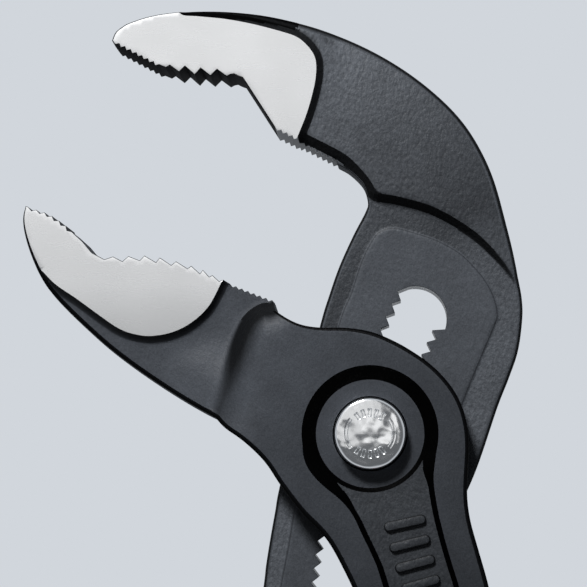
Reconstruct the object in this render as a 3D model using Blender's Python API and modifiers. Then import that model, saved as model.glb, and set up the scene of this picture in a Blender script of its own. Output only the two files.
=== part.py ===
"""Water pump pliers with a box joint, a toothed slot and a push button, lying on their back.

+Y points to the jaws, +Z out of the front face with the button, and +X to the side where the lever
of the lower jaw has its handle. The origin is on the bolt's axis, in the plane of the back face.
The lever of the lower jaw is split into two cheeks, and the slotted plate of the other lever passes
between them. A bolt through both has a toothed block in the slot. Pressing the button pushes that
block out of the teeth, and the plate can then slide to another of its positions.
"""

import math

import bmesh
import bpy
from mathutils import Vector

MM = 0.001

# Overall sizes
overall_length = 250 * MM
jaw_reach = 54 * MM  # from the bolt's axis to the crown of the upper jaw
box_thickness = 16 * MM
jaw_thickness = 9.5 * MM
plate_thickness = 5.5 * MM
handle_width = 13 * MM
handle_thickness = 9 * MM
clearance = 0.3 * MM  # between faces that slide or rest on each other
close_clearance = 0.1 * MM  # inside the push button
overrun = 2 * MM  # how far a cutter passes the face that it cuts
merge_distance = 0.01 * MM  # between the points that a turned profile closes on its axis

# Rounding of the forged edges
jaw_rounding = 1.3 * MM
cheek_rounding = 1.4 * MM
plate_rounding = 0.4 * MM
handle_rounding = 2.2 * MM
grip_rounding = 5 * MM

# Gripping teeth
fine_tooth_depth = 0.37 * MM
upper_coarse_depth = 0.87 * MM
lower_coarse_depth = 0.68 * MM
upper_tip_teeth = 8
upper_coarse_teeth = 5
upper_throat_teeth = 11
lower_tip_teeth = 5
lower_coarse_teeth = 5
lower_middle_teeth = 3
lower_throat_teeth = 7

# The slot, an arc about the point that the slotted lever swings about when it slides
slot_radius = 110 * MM
slot_lean = math.radians(17)  # of the slot at the bolt, from +Y
slot_pitch = 1.71 * MM
pitches_to_closest = 8
pitches_to_widest = 16
end_pitches_share = 1.3  # from the last position to the centre of the slot's round end, in pitches
slot_root = 3.6 * MM  # from the slot's middle line to the bottom of its teeth
slot_tip = 2.6 * MM
slot_end_radius = 4.05 * MM
land_height = 0.3 * MM  # of the raised land round the slot, each side of the plate

# Bolt
bolt_head_radius = 6.5 * MM
bolt_head_height = 1.2 * MM
journal_radius = 4.7 * MM
neck_radius = slot_tip - clearance
block_pitches = 2  # each way from the bolt's axis
tooth_engagement = 1.7 * MM

# Push button, in a round recess in the front cheek
button_radius = 4.5 * MM
button_wall = 0.85 * MM
button_stand = 1 * MM  # above the front face
button_dish = 0.35 * MM
button_crown = 0.65 * MM
button_height = 2.9 * MM
button_edge = 0.3 * MM
recess_radius = 8.55 * MM
recess_floor_radius = 6.8 * MM
recess_depth = 1.4 * MM
web_above_plate = 1.05 * MM  # metal between the plate's cavity and the spring's seat

# Spring and its washer
spring_wire = 0.5 * MM
spring_turns = 2.5
washer_height = 0.4 * MM
washer_radius = button_radius - button_wall - 1.5 * close_clearance

# Handles and grips
grip_height = 14 * MM
grip_width = 20 * MM
grip_end = 7 * MM  # of plastic past the end of the steel
panel_depth = 1.1 * MM

# What follows from them
handle_reach = overall_length - jaw_reach
middle = box_thickness / 2
cavity_height = plate_thickness + 2 * clearance
cavity_floor = middle - cavity_height / 2
cavity_roof = middle + cavity_height / 2
block_top = middle - plate_thickness / 2 + tooth_engagement
press_travel = tooth_engagement + close_clearance
button_top = box_thickness + button_stand
button_inner_top = button_top - button_dish - button_crown
spring_seat = cavity_roof + web_above_plate
slot_centre = Vector((slot_radius * math.cos(slot_lean), -slot_radius * math.sin(slot_lean)))

# Outlines of the two heads, as shares of jaw_reach. Upper jaw, from its tip over the crown
crown_shares = (
    (-0.613, 0.932), (-0.603, 0.953), (-0.556, 0.983), (-0.499, 0.996), (-0.404, 1.0),
    (-0.263, 0.993), (-0.111, 0.953), (0.022, 0.896), (0.131, 0.824), (0.233, 0.721),
    (0.291, 0.602), (0.336, 0.433), (0.349, 0.369),
)
shoulder_shares = ((0.333, 0.350), (0.235, 0.456), (0.141, 0.520), (0.059, 0.551), (0.002, 0.567))
upper_throat_shares = ((-0.017, 0.586), (-0.043, 0.619), (-0.076, 0.639))
upper_flank_shares = ((-0.219, 0.714), (-0.302, 0.842))
upper_bite_shares = ((-0.494, 0.861), (-0.605, 0.922))

# Slotted plate, down its right edge and up its left edge
plate_right_shares = (
    (0.222, 0.556), (0.296, 0.463), (0.348, 0.370), (0.361, 0.320), (0.360, 0.270),
    (0.348, 0.196), (0.326, 0.130), (0.300, 0.062), (0.243, -0.094), (0.178, -0.231),
    (0.107, -0.370), (0.041, -0.519), (-0.015, -0.667), (-0.059, -0.833), (-0.078, -0.963),
)
plate_left_shares = (
    (-0.352, -0.963), (-0.322, -0.833), (-0.283, -0.593), (-0.251, -0.358), (-0.235, -0.245),
    (-0.213, -0.125), (-0.172, 0.037), (-0.116, 0.256), (-0.069, 0.396), (-0.011, 0.519),
    (0.002, 0.560), (0.060, 0.620),
)
land_shares = (
    (0.021, 0.480), (0.059, 0.489), (0.167, 0.446), (0.249, 0.371), (0.301, 0.302),
    (0.296, 0.264), (0.211, 0.060), (0.150, -0.130), (0.080, -0.290), (0.020, -0.420),
    (-0.030, -0.560), (-0.085, -0.700), (-0.180, -0.740), (-0.240, -0.660), (-0.225, -0.450),
    (-0.190, -0.250), (-0.150, -0.020), (-0.074, 0.260), (-0.010, 0.423),
)

# Lower jaw, from its tip round the belly, and the cheeks from the belly to the handle and back
belly_shares = (
    (-0.811, 0.536), (-0.823, 0.525), (-0.821, 0.493), (-0.809, 0.447), (-0.790, 0.401),
    (-0.767, 0.351), (-0.726, 0.301), (-0.671, 0.247), (-0.621, 0.197), (-0.557, 0.148),
    (-0.489, 0.104), (-0.427, 0.064), (-0.376, 0.036),
)
jaw_root_shares = ((-0.285, 0.070), (-0.245, 0.150), (-0.215, 0.240), (-0.205, 0.275))
lower_throat_shares = ((-0.231, 0.316), (-0.346, 0.363))
lower_middle_shares = ((-0.346, 0.363), (-0.421, 0.394))
lower_coarse_shares = ((-0.421, 0.394), (-0.496, 0.415), (-0.606, 0.418))
lower_notch_shares = ((-0.626, 0.411), (-0.656, 0.427), (-0.679, 0.454))
lower_tip_shares = ((-0.704, 0.476), (-0.761, 0.522), (-0.811, 0.536))
cheek_left_shares = (
    (-0.365, 0.034), (-0.342, 0.006), (-0.300, -0.016), (-0.245, -0.064), (-0.205, -0.116),
    (-0.155, -0.181), (-0.118, -0.217), (-0.085, -0.261), (-0.041, -0.352), (-0.015, -0.405),
)
cheek_end_shares = ((0.040, -0.440), (0.150, -0.470), (0.240, -0.450), (0.285, -0.400))
cheek_right_shares = (
    (0.272, -0.351), (0.247, -0.256), (0.232, -0.202), (0.223, -0.155), (0.222, -0.111),
    (0.228, -0.030), (0.223, 0.020), (0.210, 0.066), (0.182, 0.112), (0.137, 0.158),
    (0.057, 0.207), (0.005, 0.231), (-0.055, 0.245), (-0.115, 0.247), (-0.163, 0.254),
    (-0.216, 0.281),
)
cheek_crease_shares = ((-0.272, 0.278), (-0.300, 0.234), (-0.319, 0.161), (-0.346, 0.090))

# The cavity between the cheeks: its wall on the jaw's side, then its wall on the handle's side
cavity_shares = (
    (-0.163, 0.407), (-0.167, 0.257), (-0.194, 0.128), (-0.203, 0.089), (-0.215, 0.067),
    (-0.304, -0.006), (-0.481, -0.148), (-0.481, -0.852), (0.000, -0.852), (0.104, -0.774),
    (0.144, -0.598), (0.188, -0.444), (0.221, -0.296), (0.239, -0.180), (0.444, -0.180),
    (0.444, 0.407),
)

# Each handle: its root's x, y and half width as shares of jaw_reach, and thickness as a share of
# the box's. Then x and y from the root's end as shares of what is left of handle_reach, with half
# width and thickness as shares of the handle's own
lower_root_shares = (
    (0.030, -0.100, 0.110, 0.75), (0.075, -0.230, 0.140, 0.82), (0.115, -0.352, 0.148, 0.90),
    (0.174, -0.537, 0.139, 0.82), (0.228, -0.741, 0.130, 0.71), (0.281, -0.963, 0.122, 0.61),
)
lower_handle_shares = (
    (0.0294, -0.1384, 0.49, 1.0), (0.0716, -0.3331, 0.48, 1.0), (0.1002, -0.5413, 0.46, 0.98),
    (0.1138, -0.7496, 0.44, 0.95), (0.1247, -0.9476, 0.40, 0.92),
)
upper_root_shares = (
    (-0.188, -0.790, 0.125, 0.29), (-0.206, -0.900, 0.130, 0.305), (-0.221, -1.000, 0.130, 0.38),
    (-0.242, -1.120, 0.126, 0.50),
)
upper_handle_shares = (
    (-0.0193, -0.0845, 0.49, 1.0), (-0.0627, -0.2913, 0.48, 1.0), (-0.0988, -0.5126, 0.46, 0.98),
    (-0.1220, -0.7339, 0.44, 0.95), (-0.1407, -0.9442, 0.40, 0.92),
)

# Each grip: how far down the handle, then half width and thickness as shares of the grip's own
grip_shares = (
    (0.0, 0.46, 0.86), (0.03, 0.50, 0.92), (0.10, 0.49, 0.92), (0.30, 0.50, 0.96),
    (0.55, 0.49, 0.96), (0.78, 0.49, 0.97), (0.92, 0.54, 1.06),
)
grip_end_shares = ((0.55, 0.55, 1.0), (0.94, 0.44, 0.86), (1.0, 0.34, 0.70))

# Recessed web of the lower handle's front, and of the upper handle's
lower_panel_shares = (
    (0.016, -0.060, 0.105), (0.048, -0.165, 0.098), (0.078, -0.263, 0.091), (0.107, -0.354, 0.090),
    (0.174, -0.537, 0.084), (0.228, -0.741, 0.074), (0.281, -0.963, 0.062), (0.310, -1.060, 0.045),
)


def material(name, colour, roughness, metallic):
    made = bpy.data.materials.new(name)
    made.use_nodes = True
    shader = made.node_tree.nodes["Principled BSDF"]
    shader.inputs["Base Color"].default_value = (*colour, 1)
    shader.inputs["Roughness"].default_value = roughness
    shader.inputs["Metallic"].default_value = metallic
    return made


def scaled(shares, size):
    return [tuple(size * value for value in row) for row in shares]


def spline(rows, steps):
    """Points of a smooth curve through the rows, which may hold any number of values."""
    rows = [Vector(row) for row in rows]
    rows = [2 * rows[0] - rows[1], *rows, 2 * rows[-1] - rows[-2]]
    points = []
    for before, start, end, after in zip(rows, rows[1:], rows[2:], rows[3:]):
        for step in range(steps):
            t = step / steps
            bend = 2 * before - 5 * start + 4 * end - after
            twist = 3 * start - before - 3 * end + after
            points.append(start + 0.5 * (t * (end - before) + t * t * bend + t * t * t * twist))
    return points + [rows[-2]]


def tooth_row(path, count, depth):
    """Tooth tips along a path, with a valley to the left of each step between two of them."""
    tips = spline(path, count)[::len(path) - 1]
    points = [tips[0]]
    for here, there in zip(tips, tips[1:]):
        step = there - here
        points.append((here + there) / 2 + Vector((-step.y, step.x)).normalized() * depth)
        points.append(there)
    return points


def loft(name, rings):
    """A closed mesh through rings of equally many points, with a flat cap at each end."""
    shape = bmesh.new()
    loops = [[shape.verts.new(point) for point in ring] for ring in rings]
    for low, high in zip(loops, loops[1:]):
        for here, there in zip(range(-1, len(low) - 1), range(len(low))):
            shape.faces.new((low[here], low[there], high[there], high[here]))
    shape.faces.new(loops[0])
    shape.faces.new(loops[-1])
    bmesh.ops.recalc_face_normals(shape, faces=shape.faces)
    mesh = bpy.data.meshes.new(name)
    shape.to_mesh(mesh)
    shape.free()
    made = bpy.data.objects.new(name, mesh)
    mesh.shade_smooth()
    mesh.set_sharp_from_angle(angle=math.radians(35))
    return made


def inset(outline, soft, distance):
    """The outline drawn in by a distance where it is soft. Points run clockwise seen from above."""
    points = []
    for i, (here, give) in enumerate(zip(outline, soft)):
        back = (here - outline[i - 1]).normalized()
        ahead = (outline[(i + 1) % len(outline)] - here).normalized()
        along = (back + ahead).normalized()
        reach = 1 / max(along.dot(ahead), 0.7)
        points.append(here + Vector((along.y, -along.x)) * distance * reach * give)
    return points


def slab(name, outline, low, high, rounding, soft=None):
    """A plate between two heights whose edges are rounded, apart from those of its teeth."""
    outline = [Vector(point[:2]) for point in outline]
    soft = soft or [1] * len(outline)
    area = sum(a.x * b.y - a.y * b.x for a, b in zip(outline, outline[1:] + outline[:1]))
    if area > 0:
        outline, soft = outline[::-1], soft[::-1]
    angles = [math.radians(turn) for turn in (90, 45, 0)] if rounding else [0]
    levels = [(low + rounding * (1 - math.sin(a)), rounding * (1 - math.cos(a))) for a in angles]
    levels += [(low + high - height, drawn_in) for height, drawn_in in reversed(levels)]
    return loft(name, [
        [(*point, height) for point in inset(outline, soft, drawn_in)] for height, drawn_in in levels
    ])


def ribbon(name, stations, rounding):
    """A bar along stations of x, y, half width, lowest and highest point, with rounded edges."""
    rings = []
    for i, station in enumerate(stations):
        x, y, half_width, low, high = station
        before = stations[max(i - 1, 0)]
        after = stations[min(i + 1, len(stations) - 1)]
        along = Vector((after[0] - before[0], after[1] - before[1])).normalized()
        across = Vector((-along.y, along.x))
        edge = min(rounding, half_width * 0.95, (high - low) * 0.475)
        ring = []
        for quarter, (side, level) in enumerate(((1, high), (-1, high), (-1, low), (1, low))):
            centre_side = side * (half_width - edge)
            centre_level = level - edge if level == high else low + edge
            for turn in (0, 45, 90):
                angle = math.radians(90 * quarter + turn)
                offset = across * (centre_side + edge * math.cos(angle))
                ring.append((x + offset.x, y + offset.y, centre_level + edge * math.sin(angle)))
        rings.append(ring)
    return loft(name, rings)


def turned(name, profile, steps=48):
    """A solid turned about the bolt's axis, from a profile that runs down its outer side."""
    shape = bmesh.new()
    points = [shape.verts.new((radius, 0, height)) for radius, height in profile]
    for upper, lower in zip(points, points[1:]):
        shape.edges.new((upper, lower))
    mesh = bpy.data.meshes.new(name)
    shape.to_mesh(mesh)
    shape.free()
    made = bpy.data.objects.new(name, mesh)
    screw = made.modifiers.new("turn", "SCREW")
    screw.steps = steps
    screw.render_steps = steps
    screw.use_merge_vertices = True
    screw.merge_threshold = merge_distance
    return made


def join(body, other, operation):
    """Adds a Boolean with a helper object, which stays out of the render."""
    cut = body.modifiers.new(other.name, "BOOLEAN")
    cut.operation = operation
    cut.solver = "EXACT"
    cut.object = other
    other.hide_render = True
    other.display_type = "WIRE"
    cutters.objects.link(other)


def slot_point(pitches, offset):
    """A point that many pitches up the slot from the bolt, and offset to the right of its middle."""
    angle = math.pi - slot_lean - pitches * slot_pitch / slot_radius
    return slot_centre + (slot_radius - offset) * Vector((math.cos(angle), math.sin(angle)))


def slot_teeth(low, high, root, tip, side):
    """Tooth points up one side of the slot, from one whole or half pitch to another."""
    halves = range(round(2 * low), round(2 * high) + 1)
    return [slot_point(half / 2, side * (tip if half % 2 == 0 else root)) for half in halves]


def slot_outline():
    top = pitches_to_closest + end_pitches_share
    bottom = -(pitches_to_widest + end_pitches_share)
    centre, foot = slot_point(top, 0), slot_point(bottom, 0)
    up = (slot_point(top + 0.5, 0) - slot_point(top - 0.5, 0)).normalized()
    down = (slot_point(bottom - 0.5, 0) - slot_point(bottom + 0.5, 0)).normalized()
    highest = math.floor(top)
    last_left = highest + 1.5
    reach = min((last_left - top) * slot_pitch / slot_end_radius, 0.9)
    outline = slot_teeth(-pitches_to_widest - 1, highest, slot_root, slot_tip, 1)
    last_turn = 90 + math.degrees(math.acos(reach))
    for step in range(15):
        turn = math.radians(step * last_turn / 14)
        right = Vector((up.y, -up.x))
        outline.append(centre + slot_end_radius * (math.cos(turn) * right + math.sin(turn) * up))
    outline += slot_teeth(-pitches_to_widest - 1, last_left - 0.5, slot_root, slot_tip, -1)[::-1]
    for step in range(13):
        turn = math.radians(step * 180 / 12)
        left = Vector((down.y, -down.x))
        outline.append(foot + slot_end_radius * (math.cos(turn) * left + math.sin(turn) * down))
    return outline


def upper_jaw():
    """The jaw of the slotted lever: crown, shoulder down to the plate, throat and gripping edge."""
    crown = spline(scaled(crown_shares, jaw_reach), 3)
    shoulder = [Vector(point) for point in scaled(shoulder_shares + upper_throat_shares, jaw_reach)]
    flank_end, bite_start = scaled(upper_flank_shares, jaw_reach)
    tip_start, tip_end = scaled(upper_bite_shares, jaw_reach)
    throat = tooth_row((shoulder[-1], flank_end), upper_throat_teeth, -fine_tooth_depth)
    coarse = tooth_row((bite_start, tip_start), upper_coarse_teeth, -upper_coarse_depth)
    tip = tooth_row((tip_start, tip_end), upper_tip_teeth, -fine_tooth_depth)
    teeth = throat[1:] + coarse + tip[1:]
    outline = crown + shoulder + teeth
    soft = [0.3] + [1] * (len(crown) + len(shoulder) - 2) + [0.3] + [0] * len(teeth)
    half = jaw_thickness / 2
    return slab("upper_lever", outline, middle - half, middle + half, jaw_rounding, soft)


def lower_jaw():
    """The jaw of the box lever, whose root is buried between the cheeks' outlines."""
    belly = spline(scaled(belly_shares, jaw_reach), 3)
    root = [Vector(point) for point in scaled(jaw_root_shares, jaw_reach)]
    teeth = []
    for shares, count, depth in (
        (lower_throat_shares, lower_throat_teeth, fine_tooth_depth),
        (lower_middle_shares, lower_middle_teeth, lower_coarse_depth),
        (lower_coarse_shares, lower_coarse_teeth, lower_coarse_depth),
        (lower_tip_shares, lower_tip_teeth, fine_tooth_depth),
    ):
        if shares is lower_tip_shares:
            teeth += [Vector(point) for point in scaled(lower_notch_shares, jaw_reach)]
        row = tooth_row(scaled(shares, jaw_reach), count, depth)
        teeth += row if not teeth or shares is lower_tip_shares else row[1:]
    teeth.pop()
    outline = belly + root + teeth
    soft = [0.3] + [1] * (len(belly) + len(root) - 1) + [0] * len(teeth)
    half = jaw_thickness / 2
    return slab("lower_jaw", outline, middle - half, middle + half, jaw_rounding, soft)


def handle_stations(roots, rows, extra=0.0, grown=0.0):
    """Stations of a handle, from its root to its end plus extra, thicker all round by grown."""
    stations = []
    for x, y, half_width, share in roots:
        half = share * box_thickness / 2
        stations.append((x * jaw_reach, y * jaw_reach, half_width * jaw_reach, half))
    root_x, root_y = stations[-1][:2]
    left = handle_reach + root_y
    for x, y, width, share in rows:
        half = share * handle_thickness / 2
        stations.append((root_x + x * left, root_y + y * left, width * handle_width, half))
    along = Vector(stations[-1][:2]) - Vector(stations[-2][:2])
    x, y = Vector(stations[-1][:2]) + along.normalized() * extra
    stations[-1] = (x, y, *stations[-1][2:])
    return [
        (x, y, half_width + grown, middle - half - grown, middle + half + grown)
        for x, y, half_width, half in stations
    ]


def lower_lever():
    cheek = spline(scaled(cheek_left_shares + cheek_end_shares + cheek_right_shares, jaw_reach), 2)
    cheek += [Vector(point) for point in scaled(cheek_crease_shares, jaw_reach)]
    lever = slab("lower_lever", cheek, 0, box_thickness, cheek_rounding)
    join(lever, lower_jaw(), "UNION")
    handle = ribbon("lower_handle", spline(handle_stations(lower_root_shares, lower_handle_shares), 3),
                    handle_rounding)
    join(lever, handle, "UNION")
    cavity = scaled(cavity_shares, jaw_reach)
    join(lever, slab("plate_cavity", cavity, cavity_floor, cavity_roof, 0), "DIFFERENCE")
    bore = neck_radius + clearance
    hole = button_radius + clearance
    floor = box_thickness - recess_depth
    slope = (recess_radius + recess_floor_radius) / 2
    join(lever, turned("button_recess", (
        (0, box_thickness + overrun), (recess_radius, box_thickness + overrun),
        (recess_radius, box_thickness), (slope, floor + recess_depth / 4),
        (recess_floor_radius, floor), (hole, floor), (hole, spring_seat), (bore, spring_seat),
        (bore, middle), (0, middle),
    )), "DIFFERENCE")
    bore = journal_radius + clearance
    head = bolt_head_radius + clearance
    depth = bolt_head_height + clearance
    join(lever, turned("bolt_bore", (
        (0, middle), (bore, middle), (bore, depth), (head, depth), (head, -overrun), (0, -overrun),
    )), "DIFFERENCE")
    rows = [(x * jaw_reach, y * jaw_reach, width * jaw_reach) for x, y, width in lower_panel_shares]
    join(lever, panel("lower_panel", rows, lower_root_shares), "DIFFERENCE")
    return lever


def surface_height(roots, y):
    """Half the thickness of a handle's root at a place along it, but no less than the cheeks'."""
    heights = [(row[1] * jaw_reach, row[3] * box_thickness / 2) for row in roots]
    heights.append((roots[-1][1] * jaw_reach - handle_reach, heights[-1][1]))
    if y >= heights[2][0]:
        return middle
    for (upper_y, upper), (lower_y, lower) in zip(heights[2:], heights[3:]):
        if y >= lower_y:
            return lower + (upper - lower) * (y - lower_y) / (upper_y - lower_y)
    return heights[-1][1]


def panel(name, rows, roots):
    """A cutter for the recessed web in a handle's front, at a set depth under its surface."""
    stations = []
    for x, y, half_width in rows:
        front = middle + surface_height(roots, y)
        stations.append((x, y, half_width, front - panel_depth, front + overrun))
    return ribbon(name, spline(stations, 2), panel_depth)


def upper_lever():
    lever = upper_jaw()
    edge = plate_thickness / 2 - land_height
    right = spline(scaled(plate_right_shares, jaw_reach), 2)
    left = spline(scaled(plate_left_shares, jaw_reach), 2)
    join(lever, slab("slotted_plate", right + left, middle - edge, middle + edge, plate_rounding),
         "UNION")
    half = plate_thickness / 2
    land = spline(scaled(land_shares + land_shares[:1], jaw_reach), 2)[:-1]
    join(lever, slab("slot_land", land, middle - half, middle + half, 0), "UNION")
    handle = ribbon("upper_handle", spline(handle_stations(upper_root_shares, upper_handle_shares), 3),
                    handle_rounding)
    join(lever, handle, "UNION")
    join(lever, slab("slot", slot_outline(), middle - jaw_thickness, middle + jaw_thickness, 0),
         "DIFFERENCE")
    return lever


def grip(name, roots, rows):
    """A dipped plastic sleeve, closed at its end, round the lower part of a handle."""
    steel = spline(handle_stations(roots, rows), 3)[3 * len(roots):]
    last = Vector(steel[-1][:2])
    along = (last - Vector(steel[-2][:2])).normalized()
    count = len(steel) - 1
    stations = []
    for share, width, height in grip_shares:
        place = share * count
        low = min(int(place), count - 1)
        x, y = Vector(steel[low][:2]).lerp(Vector(steel[low + 1][:2]), place - low)
        half = min(height * grip_height, box_thickness) / 2
        stations.append((x, y, width * grip_width, middle - half, middle + half))
    for share, width, height in grip_end_shares:
        x, y = last + along * grip_end * share
        half = height * box_thickness / 2
        stations.append((x, y, width * grip_width, middle - half, middle + half))
    sleeve = ribbon(name, spline(stations, 3), grip_rounding)
    hollow = handle_stations(roots, rows, clearance, clearance)
    hollow = spline(hollow, 3)[3 * len(roots) - 2:]
    join(sleeve, ribbon(name + "_hollow", hollow, handle_rounding + clearance), "DIFFERENCE")
    return sleeve


def joint_bolt():
    """Head and journal in the back cheek, toothed block in the slot, and a neck to the button."""
    bolt = turned("joint_bolt", (
        (0, cavity_floor), (journal_radius, cavity_floor), (journal_radius, bolt_head_height),
        (bolt_head_radius, bolt_head_height), (bolt_head_radius, 0), (0, 0),
    ))
    root, tip = slot_root - clearance, slot_tip - clearance
    right = slot_teeth(-block_pitches, block_pitches, root, tip, 1)
    left = slot_teeth(-block_pitches, block_pitches, root, tip, -1)
    block = slab("toothed_block", right + left[::-1], cavity_floor - clearance, block_top, 0)
    join(bolt, block, "UNION")
    neck_top = button_inner_top - close_clearance
    join(bolt, turned("bolt_neck", (
        (0, neck_top), (neck_radius - close_clearance, neck_top), (neck_radius, neck_top - close_clearance),
        (neck_radius, middle - plate_thickness / 2), (0, middle - plate_thickness / 2),
    ), 32), "UNION")
    return bolt


def push_button():
    inner = button_radius - button_wall
    foot = button_top - button_height
    return turned("push_button", (
        (0, button_top - button_dish), (inner, button_top - close_clearance),
        (button_radius - button_edge, button_top), (button_radius, button_top - button_edge),
        (button_radius, foot), (inner, foot), (inner, button_inner_top), (0, button_inner_top),
    ))


def spring_washer():
    low = spring_seat + close_clearance
    high = low + washer_height
    inner = neck_radius + clearance
    return turned("spring_washer", (
        (inner, high), (washer_radius, high), (washer_radius, low), (inner, low), (inner, high),
    ), 32)


def button_spring():
    """A coil between the washer and the button, as one unbroken wire."""
    low = spring_seat + washer_height + 2 * close_clearance + spring_wire / 2
    high = button_inner_top - close_clearance - spring_wire / 2
    radius = (neck_radius + button_radius - button_wall) / 2
    count = round(spring_turns * 10)
    points = []
    for step in range(count + 1):
        angle = 2 * math.pi * spring_turns * step / count
        height = low + (high - low) * step / count
        points.append(Vector((radius * math.cos(angle), radius * math.sin(angle), height)))
    apart = [(a - b).length for i, a in enumerate(points) for b in points[i + 6:]]
    print(f"least gap of the spring to itself: {(min(apart) - spring_wire) / MM:.2f} mm")
    curve = bpy.data.curves.new("button_spring", "CURVE")
    curve.dimensions = "3D"
    curve.bevel_depth = spring_wire / 2
    curve.bevel_resolution = 1
    curve.use_fill_caps = True
    wire = curve.splines.new("POLY")
    wire.points.add(count)
    for place, point in zip(wire.points, points):
        place.co = (*point, 1)
    return bpy.data.objects.new("button_spring", curve)


for old in list(bpy.data.objects):
    bpy.data.objects.remove(old)
pliers = bpy.data.collections.new("water_pump_pliers")
cutters = bpy.data.collections.new("cutters")
bpy.context.scene.collection.children.link(pliers)
bpy.context.scene.collection.children.link(cutters)

forged_steel = material("forged_steel", (0.05, 0.052, 0.056), 0.45, 0.85)
bright_steel = material("bright_steel", (0.62, 0.63, 0.65), 0.3, 1)
chrome = material("chrome", (0.8, 0.81, 0.83), 0.1, 1)
spring_steel = material("spring_steel", (0.45, 0.45, 0.47), 0.3, 1)
red_plastic = material("red_plastic", (0.55, 0.02, 0.02), 0.4, 0)

for piece, finish in (
    (lower_lever(), forged_steel),
    (upper_lever(), forged_steel),
    (grip("lower_grip", lower_root_shares, lower_handle_shares), red_plastic),
    (grip("upper_grip", upper_root_shares, upper_handle_shares), red_plastic),
    (joint_bolt(), bright_steel),
    (push_button(), chrome),
    (spring_washer(), bright_steel),
    (button_spring(), spring_steel),
):
    piece.data.materials.append(finish)
    pliers.objects.link(piece)
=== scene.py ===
"""Looks of the water pump pliers: dense meshes for the two forgings, the button and the grips."""

import math

import bmesh
import bpy
import numpy as np
from mathutils import Matrix, Vector
from mathutils.geometry import delaunay_2d_cdt


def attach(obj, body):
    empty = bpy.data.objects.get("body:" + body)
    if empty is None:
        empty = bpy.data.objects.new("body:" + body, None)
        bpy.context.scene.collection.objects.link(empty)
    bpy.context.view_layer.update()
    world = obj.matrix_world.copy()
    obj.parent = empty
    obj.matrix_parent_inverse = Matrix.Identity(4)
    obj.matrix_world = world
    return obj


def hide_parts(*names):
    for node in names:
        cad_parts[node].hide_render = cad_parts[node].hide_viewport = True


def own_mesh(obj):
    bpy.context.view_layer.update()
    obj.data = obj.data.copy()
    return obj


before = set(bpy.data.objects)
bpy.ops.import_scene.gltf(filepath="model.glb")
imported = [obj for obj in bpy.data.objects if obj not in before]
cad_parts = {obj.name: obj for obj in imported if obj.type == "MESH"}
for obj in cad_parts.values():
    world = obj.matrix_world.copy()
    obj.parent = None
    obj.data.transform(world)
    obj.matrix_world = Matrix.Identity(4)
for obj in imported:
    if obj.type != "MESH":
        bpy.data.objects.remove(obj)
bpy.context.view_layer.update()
MM = 0.001

# Driving sizes, in mm. The origin is on the bolt's axis, and the tool's back lies at height 0
middle = 8.0  # height of the levers' middle plane
front_face = 16.0
jaw_half = 4.75  # half the thickness of the jaws
jaw_reach = 54.0  # from the bolt's axis to the crown of the upper jaw
handle_width = 13.0
handle_halves = (4.5, 4.5, 4.41, 4.28, 4.14)  # half the thickness of a handle, at its stations
upper_handle_left = 135.52  # length of the handle below its root
lower_handle_left = 144.0

slot_radius = 110.0
slot_lean = math.radians(17)  # of the slot at the bolt, from +Y
slot_pitch = 1.71
pitches_to_closest = 8
pitches_to_widest = 16
end_pitches = 1.3  # from the last position to the centre of the slot's round end
slot_tip = 2.62  # from the slot's middle line to its teeth
slot_end_radius = 4.05

button_crown = 16.97  # height of the button's middle
grip_end = 7.0  # plastic past the end of the steel

# How finely the meshes are made
face_step = 0.6  # between the points of a forging's face
fine_above = -24.0  # below it the faces are plain, and take fewer points
edge_angles = [math.radians(a) for a in (0, 20, 42, 66, 90)]  # round a rounded edge
sharp_angle = 33  # degrees between faces, from which an edge is shaded as sharp

# The materials of a forging, by their place in its list. DARK is near-black painted shade, and on the lower
# lever RIM is edge steel with painted shade
BASE, GROUND, ROUGH, DARK, RIM = range(5)


# Materials
def new_material(name):
    made = bpy.data.materials.new(name)
    made.use_nodes = True
    return made, made.node_tree, made.node_tree.nodes["Principled BSDF"]


def wire(tree, node, inputs):
    """Gives a node's inputs their values, or a link where the value is another node's output."""
    for name, value in inputs.items():
        if isinstance(value, bpy.types.NodeSocket):
            tree.links.new(value, node.inputs[name])
        else:
            node.inputs[name].default_value = value


def add_node(tree, kind, inputs, **settings):
    node = tree.nodes.new("ShaderNode" + kind)
    for name, value in settings.items():
        setattr(node, name, value)
    wire(tree, node, inputs)
    return node


def object_place(tree):
    return add_node(tree, "TexCoord", {}).outputs["Object"]


def noise(tree, place, scale, detail, stretch=None):
    """Noise over a place in metres, with its grain stretched and turned if a stretch is given."""
    if stretch:
        turn = (0, 0, math.radians(25))
        mapping = add_node(tree, "Mapping", {"Vector": place, "Scale": stretch, "Rotation": turn})
        place = mapping.outputs["Vector"]
    return add_node(tree, "TexNoise", {"Vector": place, "Scale": scale, "Detail": detail}).outputs["Fac"]


def ramp(tree, value, stops):
    """A tone or a colour that follows a value through its stops."""
    node = add_node(tree, "ValToRGB", {"Fac": value})
    while len(node.color_ramp.elements) < len(stops):
        node.color_ramp.elements.new(0.5)
    for element, (at, colour) in zip(node.color_ramp.elements, stops):
        element.position = at
        element.color = (colour, colour, colour, 1) if np.isscalar(colour) else (*colour, 1)
    return node.outputs["Color"]


def bump(tree, height, distance, strength, below=None):
    inputs = {"Height": height, "Distance": distance, "Strength": strength}
    if below is not None:
        inputs["Normal"] = below
    return add_node(tree, "Bump", inputs).outputs["Normal"]


def multiplied(tree, colour, *factors):
    for factor in factors:
        mix = add_node(tree, "Mix", {"Factor": 1.0, "A": colour, "B": factor},
                       data_type="RGBA", blend_type="MULTIPLY")
        colour = mix.outputs["Result"]
    return colour


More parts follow.
